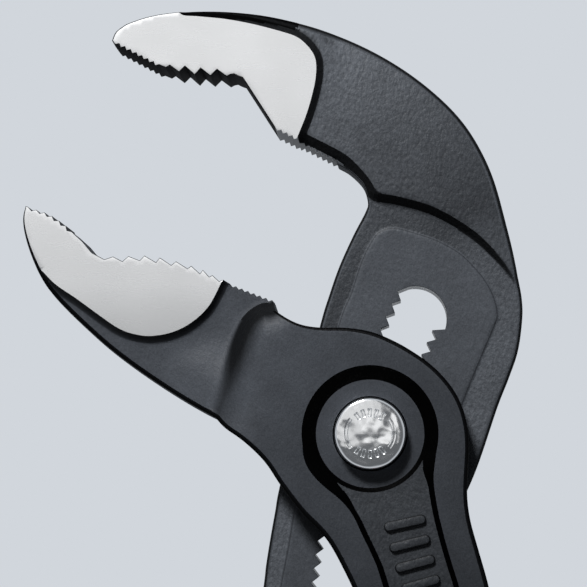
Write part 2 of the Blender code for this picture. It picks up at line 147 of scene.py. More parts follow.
def painted_falloff(tree, place, along, stops):
    """Painted shade: a slow change of tone over an object, by millimetres along a direction, for light that
    falls off across it.
    """
    span = 100  # mm, half of it to each side of the bolt
    direction = [v / (span * MM) for v in along]
    way = add_node(tree, "VectorMath", {0: place, 1: direction}, operation="DOT_PRODUCT")
    shift = add_node(tree, "Math", {0: way.outputs["Value"], 1: 0.5}, operation="ADD")
    return ramp(tree, shift.outputs[0], [(0.5 + mm / span, v) for mm, v in stops])


towards_jaws = (0, 1, 0)

# Painted shade by how level a face is (1 is level and 0 upright): slopes are painted near black, upright
# walls less dark
steep_shade = [(0.10, 0.75), (0.30, 0.06), (0.86, 0.06), (0.92, 0.42), (0.955, 1.0)]
gentle_shade = [(0.10, 0.75), (0.30, 0.06), (0.68, 0.07), (0.80, 0.30), (0.92, 0.78), (0.965, 1.0)]


def forged_material(name, tone, leather, along, stops, slope_shade=steep_shade, shine=0.12):
    """Black forged steel: scale grain, with painted shade that darkens the slopes and changes its tone along
    a direction.
    """
    made, tree, shader = new_material(name)
    place = object_place(tree)
    grain = noise(tree, place, scale=5200, detail=3)
    blotch = noise(tree, place, scale=260, detail=4)
    wrinkle = noise(tree, place, scale=2300, detail=3, stretch=(1.0, 0.7, 1.0))
    facing = add_node(tree, "NewGeometry", {}).outputs["Normal"]
    upward = add_node(tree, "SeparateXYZ", {"Vector": facing}).outputs["Z"]
    level = add_node(tree, "Math", {0: upward}, operation="ABSOLUTE").outputs[0]
    low, high = tuple(v * 0.87 for v in tone), tuple(v * 1.13 for v in tone)
    colour = multiplied(tree, ramp(tree, blotch, [(0.25, low), (0.75, high)]),
                        # painted shade: slopes darkened by how steep they are
                        ramp(tree, level, slope_shade),
                        ramp(tree, grain, [(0.32, 0.76), (0.68, 1.0)]),
                        ramp(tree, wrinkle, [(0.3, 1.0 - 0.12 * leather), (0.7, 1.0)]),
                        # painted shade along the given direction
                        painted_falloff(tree, place, along, stops))
    normal = bump(tree, grain, distance=0.00004, strength=0.5)
    normal = bump(tree, wrinkle, distance=0.0003, strength=0.25 * leather, below=normal)
    wire(tree, shader, {"Base Color": colour, "Normal": normal, "Metallic": 0.0,
                        "Roughness": ramp(tree, grain, [(0.3, 0.40), (0.7, 0.52)]),
                        "Specular IOR Level": shine})
    return made


def ground_material(name, tone, rough, dull=0.84, stops=((0, 1.0), (40, 1.0)), dents=0.0):
    """Ground steel: fine lines from the wheel, dull clouds, dents if a depth is given, and painted shade
    along the jaws by its stops.
    """
    made, tree, shader = new_material(name)
    place = object_place(tree)
    cloud = noise(tree, place, scale=110, detail=2)
    lines = noise(tree, place, scale=3800, detail=2, stretch=(0.06, 1.0, 1.0))
    low = tuple(v * dull for v in tone)
    colour = multiplied(tree, ramp(tree, cloud, [(0.35, low), (0.65, tone)]),
                        # painted shade along the jaws, by the stops
                        painted_falloff(tree, place, towards_jaws, stops))
    normal = bump(tree, lines, distance=0.00001, strength=0.007)
    if dents:
        hollow = noise(tree, place, scale=330, detail=1.5)
        normal = bump(tree, hollow, distance=0.0004, strength=dents, below=normal)
    wire(tree, shader, {"Base Color": colour, "Normal": normal, "Metallic": 1.0,
                        "Roughness": ramp(tree, lines, [(0.3, rough * 0.98), (0.7, rough * 1.02)])})
    return made


def plastic_material():
    """Dipped plastic with an orange-peel skin, a little more worn in places."""
    made, tree, shader = new_material("dipped_red_plastic")
    place = object_place(tree)
    peel = noise(tree, place, scale=900, detail=3)
    wear = noise(tree, place, scale=90, detail=4)
    colour = ramp(tree, wear, [(0.3, (0.42, 0.012, 0.014)), (0.7, (0.52, 0.018, 0.02))])
    wire(tree, shader, {"Base Color": colour,
                        "Roughness": ramp(tree, wear, [(0.3, 0.30), (0.7, 0.42)]),
                        "Normal": bump(tree, peel, distance=0.00005, strength=0.25),
                        "Coat Weight": 0.2, "Coat Roughness": 0.25})
    return made


# Painted shade: cheek_stops darken the cheek and web steels along cheek_way, for light that falls off over
# the tool
cheek_tone = (0.072, 0.080, 0.094)
cheek_way = (-0.55, 0.6, 0)
cheek_stops = [(-60, 0.60), (-17, 0.50), (-8, 0.66), (0, 0.70), (8, 0.86), (11, 1.0), (22, 1.0)]
bright_tone = (0.91, 0.915, 0.92)
grey_tone = (0.5, 0.505, 0.515)
even = [(-60, 1.0), (60, 1.0)]

forged = forged_material("forged_cheek_steel", cheek_tone, 0.8, cheek_way, cheek_stops, gentle_shade)
web_forged = forged_material("forged_web_steel", (0.078, 0.086, 0.098), 2.0, cheek_way, cheek_stops)
# Painted shade: near-black steel for hollows and walls that lie in shade
shade_black = forged_material("forged_black_scale", (0.0022, 0.0024, 0.0029), 0.8, towards_jaws, even,
                         shine=0.02)
# Painted shade: near-black steel for the jaw's tooth walls and the strip along its crown, where they lie in
# shade
tooth_shade = forged_material("forged_tooth_steel", (0.006, 0.0066, 0.0076), 0.8, towards_jaws, even,
                              shine=0.02)
# Painted shade: rounded edges near black towards the joint, plain forged steel down the handle
edge_shade = forged_material("forged_edge_steel", cheek_tone, 0.8, towards_jaws,
                              [(-42, 1.0), (-23, 0.05)], gentle_shade, shine=0.04)
# Painted shade: the plate and jaw steels are darker or lighter along their direction by their stops
plate_forged = forged_material("forged_plate_steel", (0.088, 0.097, 0.112), 1.1, towards_jaws,
                               [(-50, 0.76), (-15, 0.80), (0, 0.84), (18, 1.0)])
rough_forged = forged_material("forged_jaw_steel", (0.136, 0.149, 0.170), 2.3, (-0.6, 0.8, 0),
                               [(-30, 0.60), (0, 0.85), (8, 0.70), (15, 0.40), (30, 0.68), (40, 1.0)])
ground = ground_material("ground_steel", bright_tone, 0.27, 0.93)
# Painted shade: the lower jaw's ground face is darker towards the joint
lower_ground = ground_material("ground_lower_steel", bright_tone, 0.27, 0.95,
                               [(12, 0.76), (15, 0.85), (19, 0.99), (25, 1.0)])
worn_teeth = ground_material("worn_teeth_steel", grey_tone, 0.35, 0.9, [(34.5, 0.55), (38.5, 1.0)])
chrome = ground_material("button_chrome", (0.95, 0.955, 0.96), 0.15, 0.95, dents=0.8)
bolt_steel = ground_material("bolt_steel", grey_tone, 0.3)
spring_wire = ground_material("spring_wire", (0.42, 0.42, 0.43), 0.28)
plastic = plastic_material()

upper_materials = [plate_forged, ground, rough_forged, tooth_shade, worn_teeth]
lower_materials = [forged, lower_ground, web_forged, shade_black, edge_shade]


# Lines, in mm
def curve(points, spacing, closed=False):
    """Points every so often along a smooth curve through the given ones."""
    p = np.array(points, float)
    if closed:
        p = np.vstack([p[-1], p, p[:2]])
    else:
        p = np.vstack([2 * p[0] - p[1], p, 2 * p[-1] - p[-2]])
    out = []
    for a, b, c, d in zip(p, p[1:], p[2:], p[3:]):
        n = max(1, round(float(np.linalg.norm(c - b)) / spacing))
        for t in np.arange(n) / n:
            out.append(b + 0.5 * (t * (c - a) + t * t * (2 * a - 5 * b + 4 * c - d)
                                  + t ** 3 * (3 * b - a - 3 * c + d)))
    if not closed:
        out.append(p[-2])
    return np.array(out)


def relaxed(line, passes):
    """An open line with its small kinks smoothed away."""
    line = line.copy()
    for _ in range(passes):
        line[1:-1] = (line[:-2] + 2 * line[1:-1] + line[2:]) / 4
    return line


def straight(points, spacing):
    """Points every so often along straight lines between the given ones."""
    p = np.array(points, float)
    out = []
    for a, b in zip(p, p[1:]):
        n = max(1, round(float(np.linalg.norm(b - a)) / spacing))
        out += [a + (b - a) * t for t in np.arange(n) / n]
    return np.array(out + [p[-1]])


def way_along(line):
    """How far along the line each of its points is."""
    return np.r_[0, np.cumsum(np.linalg.norm(np.diff(line[:, :2], axis=0), axis=1))]


def points_at(line, distances):
    """What the line's rows say at one or more distances along it."""
    way = way_along(line)
    return np.stack([np.interp(distances, way, column) for column in line.T], -1)


def spread(line, count):
    """Points spread evenly along a line."""
    return points_at(line, np.linspace(0, way_along(line)[-1], count))


def left_of(line):
    """Unit vectors to the left of an open line, one at each of its points."""
    along = np.gradient(line, axis=0)
    along /= np.linalg.norm(along, axis=1)[:, None]
    return np.stack([-along[:, 1], along[:, 0]], 1)


def shifted(line, distances):
    """Copies of an open line, moved to its left."""
    left = left_of(line)
    return [line + left * d for d in distances]


def area(p):
    x, y = p[:, 0], p[:, 1]
    return 0.5 * float(np.sum(x * np.roll(y, -1) - y * np.roll(x, -1)))


def to_line(points, line, closed=False):
    """Least distance of points to a line, and whether they lie on its left."""
    a = line if closed else line[:-1]
    b = np.roll(line, -1, 0) if closed else line[1:]
    d = b - a
    length = np.maximum((d ** 2).sum(1), 1e-12)
    best = np.zeros(len(points))
    side = np.zeros(len(points))
    block = 2000  # points at a time, for the sake of memory
    for i in range(0, len(points), block):
        q = points[i:i + block, None] - a[None]
        t = np.clip((q * d).sum(2) / length, 0, 1)
        r = q - t[..., None] * d
        far = (r ** 2).sum(2)
        k = far.argmin(1)
        row = np.arange(len(k))
        best[i:i + block] = np.sqrt(far[row, k])
        side[i:i + block] = d[k, 0] * q[row, k, 1] - d[k, 1] * q[row, k, 0]
    return best, side > 0


def inside(points, loop):
    x, y = points[:, 0], points[:, 1]
    hit = np.zeros(len(points), bool)
    for (ax, ay), (bx, by) in zip(loop, np.roll(loop, -1, 0)):
        if ay != by:
            hit ^= ((ay > y) != (by > y)) & (x < (bx - ax) * (y - ay) / (by - ay) + ax)
    return hit


def signed(points, loop):
    """Distance to a closed line, positive outside it."""
    return to_line(points, loop, True)[0] * np.where(inside(points, loop), -1, 1)


def drawn_in(loop, distances):
    """A loop moved to its right by a distance for each of its points."""
    back = loop - np.roll(loop, 1, 0)
    ahead = np.roll(loop, -1, 0) - loop
    back /= np.maximum(np.linalg.norm(back, axis=1), 1e-9)[:, None]
    ahead /= np.maximum(np.linalg.norm(ahead, axis=1), 1e-9)[:, None]
    along = back + ahead
    along /= np.maximum(np.linalg.norm(along, axis=1), 1e-9)[:, None]
    reach = 1 / np.maximum((along * ahead).sum(1), 0.75)
    return loop + np.stack([along[:, 1], -along[:, 0]], 1) * (distances * reach)[:, None]


def smooth_step(t):
    t = np.clip(t, 0, 1)
    return t * t * (3 - 2 * t)


def toothed(points, count, depth):
    """Tips spread evenly along a smooth line, with a valley to the left between two of them."""
    tips = spread(curve(points, 0.05), count + 1)
    out = [tips[0]]
    for a, b in zip(tips, tips[1:]):
        d = (b - a) / np.linalg.norm(b - a)
        out += [(a + b) / 2 + np.array((-d[1], d[0])) * depth, b]
    return np.array(out)


def arc_turn(start, end):
    """Half a turn from one point to another, bulging to the left of the way between them."""
    centre, arm = (start + end) / 2, (start - end) / 2
    bulge = np.array((arm[1], -arm[0])) * 0.9
    angles = np.linspace(0, math.pi, 15)[1:-1]
    return np.array([centre + arm * math.cos(a) + bulge * math.sin(a) for a in angles])


def sides(stations):
    """Right and left edge of a bar that runs down, from its stations of x, y and half width."""
    rows = curve(stations, 1.4)
    across = left_of(rows[:, :2]) * rows[:, 2:3]
    return rows[:, :2] + across, rows[:, :2] - across


class Outline:
    """A closed line, with the rounding and draft of the wall at each of its points, and its materials.

    A rounding or a draft that is given as a pair goes evenly from the first to the second.
    """

    nearest = 0.03  # a point nearer than this to the last one is left out

    def __init__(self):
        self.rows = []

    def add(self, points, rounding, draft=0.0, wall=BASE, edge=None):
        for i, (x, y) in enumerate(points):
            t = i / max(len(points) - 1, 1)
            r, d = (v if np.isscalar(v) else v[0] * (1 - t) + v[1] * t for v in (rounding, draft))
            if not self.rows or math.hypot(x - self.rows[-1][0], y - self.rows[-1][1]) > self.nearest:
                self.rows.append((x, y, r, d, wall, wall if edge is None else edge))

    def done(self, clockwise=True):
        rows = np.array(self.rows)
        if math.hypot(*(rows[0, :2] - rows[-1, :2])) < self.nearest:
            rows = rows[:-1]
        if (area(rows[:, :2]) < 0) != clockwise:
            rows = rows[::-1]
        return rows


# Solids
def placed(name, data):
    """An object in the scene for a mesh, a light or a camera."""
    made = bpy.data.objects.new(name, data)
    bpy.context.scene.collection.objects.link(made)
    return made


def grid(low, high):
    """Points of a triangular grid between two corners."""
    rise = face_step * 0.87
    rows = []
    for y in np.arange(low[1], high[1], rise):
        row = round((y - low[1]) / rise)
        fine = y > fine_above
        if fine or row % 3 == 0:
            wide = face_step if fine else face_step * 2.5
            xs = np.arange(low[0] + (row % 2) * wide / 2, high[0], wide)
            rows.append(np.stack([xs, np.full(len(xs), y)], 1))
    return np.vstack(rows)


def clear_of(points, lines, distance, closed=False):
    """The points that keep a distance from all the lines."""
    for line in lines:
        points = points[to_line(points, line, closed)[0] > distance]
    return points


def sheet(loops, features):
    """Triangles over the outer loop without its holes, with extra points along the features."""
    def within(points):
        keep = inside(points, loops[0])
        for hole in loops[1:]:
            keep &= ~inside(points, hole)
        return keep

    extra = grid(loops[0].min(0), loops[0].max(0))
    extra = clear_of(extra[within(extra)], loops, face_step * 0.4, True)
    extra = clear_of(extra, features, face_step * 0.35)
    taken = [clear_of(line[within(line)], loops, 0.05, True) for line in features]
    points = np.vstack([*loops, extra, *taken])
    edges, first = [], 0
    for loop in loops:
        n = len(loop)
        edges += [(first + i, first + (i + 1) % n) for i in range(n)]
        first += n
    verts, _, faces, *_ = delaunay_2d_cdt([Vector(p) for p in points.tolist()], edges, [], 0, 1e-5)
    verts = np.array([tuple(v) for v in verts])
    faces = np.array([f[:3] for f in faces])
    return verts, faces[within(verts[faces].mean(1))]


def bridge(shape, low, high):
    """Faces between two rings, either of which may be a single point."""
    count = max(len(low), len(high))
    faces = []
    for i in range(count):
        j = (i + 1) % count
        corners = (low[i % len(low)], high[i % len(high)], high[j % len(high)], low[j % len(low)])
        faces.append(shape.faces.new(list(dict.fromkeys(corners))))
    return faces


def as_object(name, shape, materials, sharp=sharp_angle):
    mesh = bpy.data.meshes.new(name)
    for material in materials:
        mesh.materials.append(material)
    bmesh.ops.recalc_face_normals(shape, faces=shape.faces)
    shape.to_mesh(mesh)
    shape.free()
    mesh.shade_smooth()
    if sharp:
        mesh.set_sharp_from_angle(angle=math.radians(sharp))
    return placed(name, mesh)


def forging(name, outlines, half_thickness, features, finish, materials):
    """A closed solid, alike on both sides of its middle plane, with drafted walls and rounded edges."""
    shape = bmesh.new()
    rims = []
    for rows in outlines:
        line, rounding, draft = rows[:, :2], rows[:, 2], rows[:, 3]
        walls, edges = rows[:, 4:].astype(int).T.tolist()
        for _ in range(3):
            around = (np.roll(rounding, 1) + rounding * 2 + np.roll(rounding, -1)) / 4
            rounding = np.minimum(rounding, around)
        levels = [(drawn_in(line, draft + rounding * (1 - math.cos(a))), rounding * (1 - math.sin(a)))
                  for a in edge_angles]
        inner = levels[-1][0]
        half = half_thickness(inner)
        rings = [np.c_[at, middle - half + fall] for at, fall in reversed(levels)]
        rings.append(np.c_[line, np.full(len(line), middle)])
        rings += [np.c_[at, middle + half - fall] for at, fall in levels]
        made = [[shape.verts.new(v * MM) for v in ring] for ring in rings]
        for k, (low, high) in enumerate(zip(made, made[1:])):
            upright = k in (len(levels) - 1, len(levels))
            for face, index in zip(bridge(shape, low, high), walls if upright else edges):
                face.material_index = index
        rims.append(inner)
    verts, triangles = sheet(rims, features)
    half = half_thickness(verts)
    indices = finish(verts[triangles].mean(1)).tolist()
    for height, turn in ((middle + half, 1), (middle - half, -1)):
        made = [shape.verts.new(v * MM) for v in np.c_[verts, height]]
        for corners, index in zip(triangles, indices):
            face = shape.faces.new([made[k] for k in corners[::turn]])
            face.material_index = index
    bmesh.ops.remove_doubles(shape, verts=shape.verts, dist=0.004 * MM)
    open_edges = sum(1 for e in shape.edges if not e.is_manifold)
    print(f"{name}: {len(shape.faces)} faces, {open_edges} open edges")
    return as_object(name, shape, materials)


def solid(name, skins, materials, sharp=sharp_angle):
    """An object of closed skins. Each is a list of rings in mm, and is capped where it ends in one."""
    shape = bmesh.new()
    for rings in skins:
        loops = [[shape.verts.new([c * MM for c in point]) for point in ring] for ring in rings]
        for low, high in zip(loops, loops[1:]):
            bridge(shape, low, high)
        for end in (loops[0][::-1], loops[-1]):
            if len(end) > 1:
                shape.faces.new(end)
    return as_object(name, shape, materials, sharp)


def circle(radius, height, steps):
    angles = [2 * math.pi * i / steps for i in range(steps)]
    return [(radius * math.cos(a), radius * math.sin(a), height) for a in angles]


def turned(profile):
    """The skin of a solid turned about the bolt's axis, from a profile that starts and ends on it."""
    return [circle(radius, height, 128 if radius else 1) for radius, height in profile]


def cut(body, *cutters):
    """Takes the cutters out of the body, for good."""
    for cutter in cutters:
        step = body.modifiers.new(cutter.name, "BOOLEAN")
        step.operation = "DIFFERENCE"
        step.solver = "EXACT"
        step.object = cutter
    mesh = bpy.data.meshes.new_from_object(body.evaluated_get(bpy.context.evaluated_depsgraph_get()))
    body.modifiers.clear()
    body.data = mesh
    for cutter in cutters:
        bpy.data.objects.remove(cutter)
    mesh.shade_smooth()
    mesh.set_sharp_from_angle(angle=math.radians(sharp_angle))


# What both levers share
def share(*rows):
    """Points given as shares of the jaw's reach."""
    return [tuple(jaw_reach * v for v in row) for row in rows]


def handle(root, left, rows):
    """Stations of a handle: its root's, then others as shares of the length that is left."""
    x, y = root[-1][:2]
    return root + [(x + a * left, y + b * left, w * handle_width) for a, b, w in rows]


def along_y(points, table):
    """A value by height on the tool, smooth between the table's rows of y and value."""
    line = curve(table, 1.0)
    order = np.argsort(line[:, 0])
    return np.interp(points[:, 1], line[order, 0], line[order, 1])


def polish_drop(d):
    """How far a forged face lies under a ground one, at a distance from the ground one's edge."""
    return np.interp(d, (0.0, 0.06, 0.80, 0.97, 1.15), (0.0, 0.09, 0.82, 0.885, 0.89))


# Upper lever: jaw, slotted plate and handle
upper_bar = handle(share((-0.206, -0.900, 0.133), (-0.221, -1.000, 0.130), (-0.242, -1.120, 0.126)),
                   upper_handle_left,
                   [(-0.0193, -0.0845, 0.49), (-0.0627, -0.2913, 0.48), (-0.0988, -0.5126, 0.46),
                    (-0.1220, -0.7339, 0.44), (-0.1407, -0.9442, 0.40)])
crown = [(-33.08, 50.31), (-32.55, 51.48), (-31.20, 52.47), (-30.03, 53.10), (-28.50, 53.60),
         (-26.95, 53.73), (-24.70, 53.99), (-21.83, 54.22), (-19.50, 54.28), (-14.15, 53.91),
         (-9.98, 53.05), (-5.85, 51.95), (-2.39, 50.60), (1.36, 48.74), (4.77, 46.60),
         (7.28, 44.69), (10.42, 41.86), (12.74, 39.05), (14.65, 35.63), (15.95, 32.59),
         (17.16, 27.97), (18.26, 23.40), (18.82, 19.99)]
plate_right = [(18.82, 19.99), (19.30, 17.26), (19.34, 14.59), (18.77, 10.59), (17.56, 7.04),
               (16.12, 3.38), (13.17, -5.10), (9.61, -12.47), (5.78, -19.98), (2.21, -28.03),
               (-0.81, -36.02), (-2.97, -43.20)]
plate_left = [(-18.10, -46.80), (-17.35, -43.00), (-15.30, -32.00), (-13.58, -19.35),
              (-13.27, -16.67), (-12.73, -13.23), (-12.12, -9.79), (-11.57, -6.73),
              (-9.42, 2.03), (-6.41, 13.89), (-5.27, 17.68), (-3.95, 21.45), (-2.16, 25.42),
              (-0.60, 28.43), (-0.30, 29.66), (-0.84, 31.78), (-2.47, 33.53), (-4.11, 34.52)]
upper_polish = [(-24.6, 54.6), (-24.05, 53.60), (-22.00, 53.38), (-18.52, 53.02),
                (-15.05, 52.36), (-11.58, 51.44), (-9.50, 50.73), (-8.20, 49.75), (-7.20, 48.42),
                (-6.86, 47.01), (-7.00, 44.93), (-7.55, 42.55), (-8.24, 40.33), (-9.27, 37.76),
                (-10.6, 34.5)]
upper_polish_loop = np.vstack([curve(upper_polish, 0.3),
                               [(-20.0, 34.0), (-40.0, 44.0), (-40.0, 60.0), (-26.0, 60.0)]])
step_line = curve([(-5.0, 31.3), (-2.0, 31.0), (0.38, 30.73), (3.19, 30.32), (6.4, 29.5),
                   (8.54, 28.69), (11.21, 27.21), (13.87, 25.32), (16.53, 22.63), (18.12, 20.62),
                   (20.5, 17.2)], 0.2)
land_loop = curve([(-3.93, 14.03), (-2.46, 17.79), (-0.98, 22.23), (0.5, 25.06), (1.58, 26.0),
                   (3.19, 26.27), (5.87, 25.59), (8.55, 24.64), (11.22, 23.15), (13.09, 21.4),
                   (14.69, 19.38), (15.75, 17.23), (16.14, 15.08), (15.6, 13.47)]
                  + share((0.211, 0.060), (0.150, -0.130), (0.080, -0.290), (0.020, -0.420),
                          (-0.030, -0.560), (-0.085, -0.700), (-0.180, -0.740), (-0.240, -0.660),
                          (-0.225, -0.450), (-0.190, -0.250), (-0.150, -0.020)), 0.3, True)
crown_line = relaxed(curve(crown, 0.3), 90)
throat_line = curve([(-9.6, 37.75), (-8.6, 37.2), (-4.3, 34.95), (-2.65, 33.6), (-1.1, 31.8),
                     (-0.25, 30.2), (0.3, 28.2)], 0.25)
plate_swell = [(-250, 1.69), (-188, 1.69), (-160, 1.83), (-130, 1.96), (-100, 2.05), (-72, 2.05),
               (-60.5, 1.55), (-54, 0.7), (-48, 0.22), (-42, 0.03), (-36, 0.0), (60, 0.0)]


def step_width(x):
    """How wide the step from jaw to plate is, as a share of its width on the left."""
    return np.interp(x, (9.0, 18.5), (1.0, 0.72))


def upper_height(points):
    """Half the thickness of the slotted lever."""
    x, y = points.T
    from_polish = signed(points, upper_polish_loop)
    jaw = jaw_half - polish_drop(from_polish)
    near_crown = np.clip(1 - to_line(points, crown_line)[0] / 10.0, 0, 1) ** 2
    jaw -= 1.1 * near_crown * smooth_step(from_polish / 4.0)
    bevel = np.interp(to_line(points, throat_line)[0], (0.0, 0.12, 1.2, 1.55), (1.4, 1.3, 0.08, 0.0))
    jaw -= bevel * smooth_step((x + 9.3) / 0.6) * smooth_step((from_polish - 0.1) / 0.5)
    plate = np.interp(signed(points, land_loop), (-0.4, -0.2, 0.0, 0.2, 0.4),
                      (2.66, 2.64, 2.555, 2.47, 2.45))
    plate += along_y(points, plate_swell)
    down, above = to_line(points, step_line)
    down = np.where(above, -down, down) / step_width(x)
    fall = np.interp(down, (-0.3, 0.0, 0.95, 1.25), (0.0, 0.07, 0.94, 1.0))
    fall = np.where(y < 8, 1.0, fall)
    return jaw * (1 - fall) + plate * fall


def upper_finish(points):
    from_polish = signed(points, upper_polish_loop)
    # Painted shade: a near-black strip along the crown, between its rounded edge and the ground face
    shade_strip = (from_polish < 1.15) & (to_line(points, crown_line)[0] < 1.2) & (points[:, 0] < -9.0)
    rough = (signed(points, land_loop) > 0.2) & (points[:, 1] > -60)
    return np.select([from_polish < 0, shade_strip, rough], [GROUND, DARK, ROUGH], BASE)


def upper_features():
    """Lines along which the faces of the upper lever bend."""
    wide = step_width(step_line[:, 0])[:, None]
    throat = shifted(throat_line, (0.12, 0.6, 1.2, 1.55))
    return (shifted(curve(upper_polish, 0.25), (0.0, 0.40, 0.80, 0.97))
            + shifted(step_line, [wide * d for d in (0.3, 0.0, -0.35, -0.65, -0.95, -1.25)])
            + [line[signed(line, upper_polish_loop) > 0.2] for line in throat]
            + [drawn_in(land_loop, np.full(len(land_loop), d)) for d in (-0.4, -0.2, 0.0, 0.2, 0.4)])


def slot_point(pitches, offset):
    """A point that many pitches up the slot from the bolt, and so far to its left."""
    centre = slot_radius * np.array((math.cos(slot_lean), -math.sin(slot_lean)))
    angle = math.pi - slot_lean - pitches * slot_pitch / slot_radius
    return centre + (slot_radius - offset) * np.array((math.cos(angle), math.sin(angle)))


def slot_end(pitches, ahead, angles):
    """A round end of the slot, from the right of the way ahead."""
    centre = slot_point(pitches, 0)
    way = slot_point(pitches + ahead, 0) - slot_point(pitches - ahead, 0)
    way /= np.linalg.norm(way)
    right = np.array((way[1], -way[0]))
    return [centre + slot_end_radius * (math.cos(a) * right + math.sin(a) * way)
            for a in np.radians(angles)]


def slot_outline():
    """The slot: teeth up its right side, its top, teeth down its left side and its foot."""
    foot = -2 * (pitches_to_widest + 1)
    top = 2 * (pitches_to_closest + 1)
    points = [slot_point(half / 2, 3.6 if half % 2 else slot_tip) for half in range(foot, top + 1)]
    points += slot_end(pitches_to_closest + end_pitches, 0.5, np.linspace(4, 127, 44))
    points += [slot_point(half / 2, -3.5 if half % 2 else -slot_tip)
               for half in range(top + 3, foot - 1, -1)]
    points += slot_end(-pitches_to_widest - end_pitches, -0.5, np.linspace(0, 180, 40))
    line = Outline()
    line.add(points, 0.07, wall=GROUND, edge=BASE)
    return line.done(clockwise=False)


def upper_outline():
    line = Outline()
    top = curve(crown, 0.3)
    top[10:] = relaxed(top[10:], 90)
    split, merge = (int(np.argmin(np.abs(top[:, 0] - x))) for x in (-23.5, -9.0))
    line.add(top[:split], (0.16, 0.07), 0.04)
    # Painted shade: the crown's wall here takes near-black steel
    line.add(top[split:merge], (0.07, 0.7), (0.04, 0.1), wall=DARK)
    line.add(top[merge:-25], 0.7, 0.12)
    line.add(top[-25:], (0.7, 0.55), (0.12, 0.02))
    line.add(curve(plate_right, 0.35)[1:-1], 0.55)
    right, left = sides(upper_bar)
    line.add(right[1:], (0.8, 2.1), 0.1)
    line.add(arc_turn(right[-1], left[-1]), 1.9, 0.1)
    line.add(left[::-1][:-1], (2.1, 0.8), 0.1)
    edge = curve(plate_left, 0.3)
    below, above = edge[:, 1] < 28.5, edge[:, 1] >= 30.5
    line.add(edge[below][1:], 0.52)
    line.add(edge[~below & ~above], (0.4, 0.15))
    line.add(edge[above], 0.12)
    line.add(toothed([(-4.11, 34.52), (-11.84, 38.53)], 11, -0.37), 0.07, wall=RIM)
    # Painted shade: the walls of the mouth and its teeth from here to the tip take near-black steel
    line.add(straight([(-11.84, 38.53), (-16.29, 45.46)], 0.4), 0.12, wall=DARK)
    line.add([(-16.75, 45.62), (-17.39, 45.94), (-17.85, 45.85), (-18.30, 45.60),
              (-19.55, 46.52), (-20.38, 45.68), (-21.63, 46.69), (-22.39, 45.83),
              (-23.65, 46.95), (-24.41, 46.19), (-25.59, 47.10), (-26.1, 46.8)], 0.08, wall=DARK)
    line.add(toothed([(-26.96, 47.17), (-32.11, 49.92)], 7, 0.37), 0.06, wall=DARK)
    line.add([(-32.62, 49.80)], 0.06, wall=DARK)
    return line.done()


# Lower lever: jaw, cheeks of the box joint and handle
lower_bar = handle(share((0.174, -0.537, 0.139), (0.228, -0.741, 0.130), (0.281, -0.963, 0.122)),
                   lower_handle_left,
                   [(0.0294, -0.1384, 0.49), (0.0716, -0.3331, 0.48), (0.1002, -0.5413, 0.46),
                    (0.1138, -0.7496, 0.44), (0.1247, -0.9476, 0.40)])
crease = curve([(-8.0, 18.2), (-12.03, 15.90), (-13.77, 15.45), (-15.29, 14.24), (-16.37, 12.28),
                (-17.24, 9.67), (-17.88, 6.84), (-18.74, 3.37), (-20.0, 0.8), (-22.5, -3.0)], 0.3)
lower_polish = [(-47.0, 23.4), (-43.2, 21.75), (-41.90, 20.85), (-40.04, 19.01), (-37.35, 17.18),
                (-34.15, 14.86), (-31.95, 13.39), (-30.00, 12.67), (-27.80, 12.42),
                (-25.12, 12.90), (-22.70, 14.12), (-20.52, 16.18), (-18.82, 19.35),
                (-17.2, 22.5)]
lower_polish_loop = np.vstack([curve(lower_polish, 0.3),
                               [(-17.0, 30.0), (-50.0, 38.0), (-52.0, 25.0)]])
lower_front = [(-250, 12.14), (-188, 12.14), (-160, 12.28), (-130, 12.41), (-100, 12.5),
               (-72, 12.5), (-60, 12.65), (-52, 12.95), (-40, 13.75), (-34, 14.35), (-29, 14.95),
               (-24, 15.55), (-20, 15.88), (-16.5, 16.0), (-10, 16.0), (60, 16.0)]
cheek_top = [(-11.91, 15.56), (-10.90, 14.79), (-8.82, 13.74), (-6.23, 13.34), (-2.96, 13.34),
             (0.38, 12.78), (3.28, 11.54), (4.88, 10.64), (7.59, 8.78), (10.05, 6.21),
             (11.51, 3.64), (12.21, 1.12), (12.43, -1.63), (12.19, -6.00), (12.21, -8.33),
             (12.58, -10.89), (13.39, -13.82), (14.83, -18.89), (15.59, -22.79)]
cheek_left = [(-1.42, -21.56), (-2.38, -19.08), (-4.87, -14.25), (-6.64, -11.96),
              (-8.64, -10.01), (-11.36, -6.48), (-13.32, -3.55), (-16.19, -0.85),
              (-18.31, 0.54), (-19.50, 1.82)]
belly = [(-20.76, 2.44), (-22.95, 3.64), (-26.33, 5.73), (-29.94, 8.17), (-33.41, 10.78),
         (-36.27, 13.31), (-39.30, 16.19), (-41.63, 18.84), (-42.93, 21.57), (-43.85, 24.09),
         (-44.39, 26.59), (-44.44, 28.33), (-43.96, 29.06)]


def lower_height(points):
    """Half the thickness of the box lever, without its recess and web."""
    x, y = points.T
    from_polish = signed(points, lower_polish_loop)
    off, cheek_side = to_line(points, crease)
    off = np.where(cheek_side, off, -off)
    near_cheek = np.clip((off + 8.5) / 8.5, 0, 1) ** 1.2 * smooth_step((from_polish - 0.9) / 4.0)
    room = np.clip(from_polish, 0, None) + np.clip(-off, 0, None)
    jaw = jaw_half - polish_drop(from_polish)
    jaw += 1.7 * near_cheek * smooth_step((16.0 - y) / 9.0) * smooth_step((room - 3.0) / 8.0)
    off = (off + 1.1) / np.interp(y, (4.0, 15.0), (1.75, 0.9)) - 1.1
    rise = np.interp(off, (-1.5, -1.1, -0.7, 0.0, 0.6, 1.2, 1.9, 2.7, 3.6),
                     (0.0, 0.02, 0.11, 0.42, 0.64, 0.79, 0.91, 0.98, 1.0))
    rise = np.where(y < -4, 1.0, rise)
    box = along_y(points, lower_front) - middle
    return jaw * (1 - rise) + box * rise


